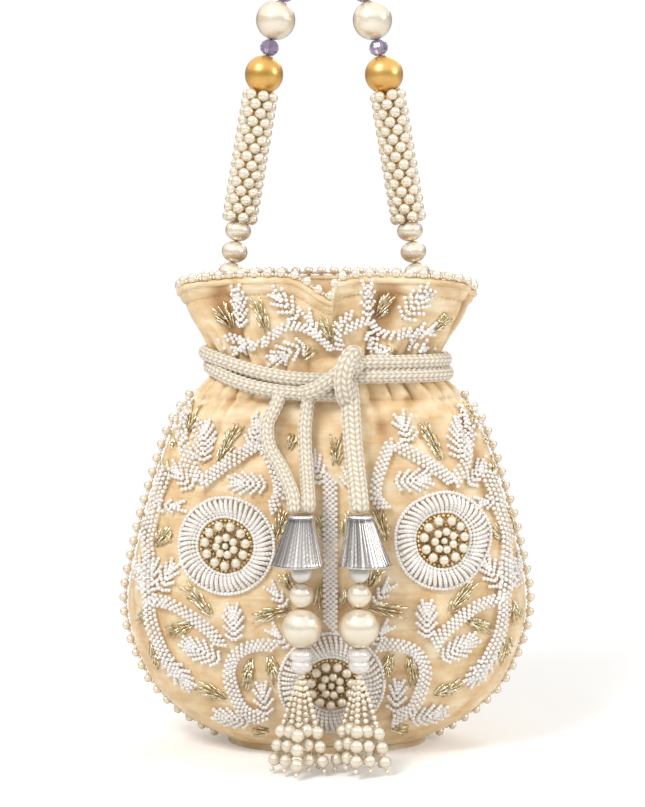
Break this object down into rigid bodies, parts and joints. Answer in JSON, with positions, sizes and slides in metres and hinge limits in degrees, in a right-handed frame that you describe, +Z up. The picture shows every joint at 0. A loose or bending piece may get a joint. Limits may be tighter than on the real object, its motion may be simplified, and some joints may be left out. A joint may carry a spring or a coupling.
{
  "type": "potli bag",
  "caption": "Gathered silk drawstring pouch with beaded vines and medallions, pearl edging, a strung pearl handle and two beaded tassels.",
  "frame": {"origin": "middle of the flat base, on the surface that the bag stands on", "axes": "+Z up along the handle, front with the tassels towards -Y, +X to the right seen from the front"},
  "size_m": [0.192, 0.115, 0.3616],
  "materials": {
    "silk": "woven silk with a soft sheen",
    "base_cloth": "silk over stiff board",
    "white_beads": "small white glass beads",
    "pearl": "lustrous pearl coating",
    "gold_pearl": "lustrous gold pearl coating",
    "crystal": "faceted glass",
    "cord": "braided matt yarn",
    "cone_metal": "ribbed silver wire",
    "thread": "waxed thread"
  },
  "bodies": {
    "root": {"back_panel": "silk", "base_board": "base_cloth", "centre_stem": "white_beads", "drawstring_knot": "cord", "front_panel": "silk", "left_handle_leader": "thread", "left_lower_vine": "white_beads", "left_medallion_ring": "white_beads", "left_outer_vine": "white_beads", "left_pearl_heart": "pearl", "left_upper_vine": "white_beads", "lower_medallion_ring": "white_beads", "lower_pearl_heart": "pearl", "neck_cord_lower": "cord", "neck_cord_upper": "cord", "right_handle_leader": "thread", "right_lower_vine": "white_beads", "right_medallion_ring": "white_beads", "right_outer_vine": "white_beads", "right_pearl_heart": "pearl", "right_upper_vine": "white_beads", "rim_pearls_back": "pearl", "rim_pearls_front": "pearl", "side_pearls_left": "pearl", "side_pearls_right": "pearl"},
    "handle": {"arch_pearl_1": "pearl", "arch_pearl_2": "pearl", "arch_pearl_3": "pearl", "arch_pearl_4": "pearl", "handle_thread": "thread", "left_gold_bead": "gold_pearl", "left_large_pearl": "pearl", "left_lower_crystal": "crystal", "left_pearl_tube": "pearl", "left_small_pearls": "pearl", "left_upper_crystal": "crystal", "right_gold_bead": "gold_pearl", "right_large_pearl": "pearl", "right_lower_crystal": "crystal", "right_pearl_tube": "pearl", "right_small_pearls": "pearl", "right_upper_crystal": "crystal"},
    "left_tail": {"left_big_pearl": "pearl", "left_cone_cap": "cone_metal", "left_fringe": "white_beads", "left_inner_cord": "cord", "left_lower_bead": "pearl", "left_outer_cord": "cord", "left_spacer_bead": "crystal", "left_tassel_thread": "thread", "left_upper_pearl": "pearl"},
    "right_tail": {"right_big_pearl": "pearl", "right_cone_cap": "cone_metal", "right_cord": "cord", "right_fringe": "white_beads", "right_lower_bead": "pearl", "right_spacer_bead": "crystal", "right_tassel_thread": "thread", "right_upper_pearl": "pearl"}
  },
  "joints": [
    {"name": "handle_fold", "type": "hinge", "parent": "root", "child": "handle", "pos_m": [0, 0, 0.211], "axis": [1, 0, 0], "range_deg": [-50, 50]},
    {"name": "left_tail_swing", "type": "hinge", "parent": "root", "child": "left_tail", "pos_m": [-0.0112, -0.033, 0.1566], "axis": [-1, 0, 0], "range_deg": [0, 65]},
    {"name": "right_tail_swing", "type": "hinge", "parent": "root", "child": "right_tail", "pos_m": [0.0138, -0.034, 0.162], "axis": [-1, 0, 0], "range_deg": [0, 65]}
  ]
}
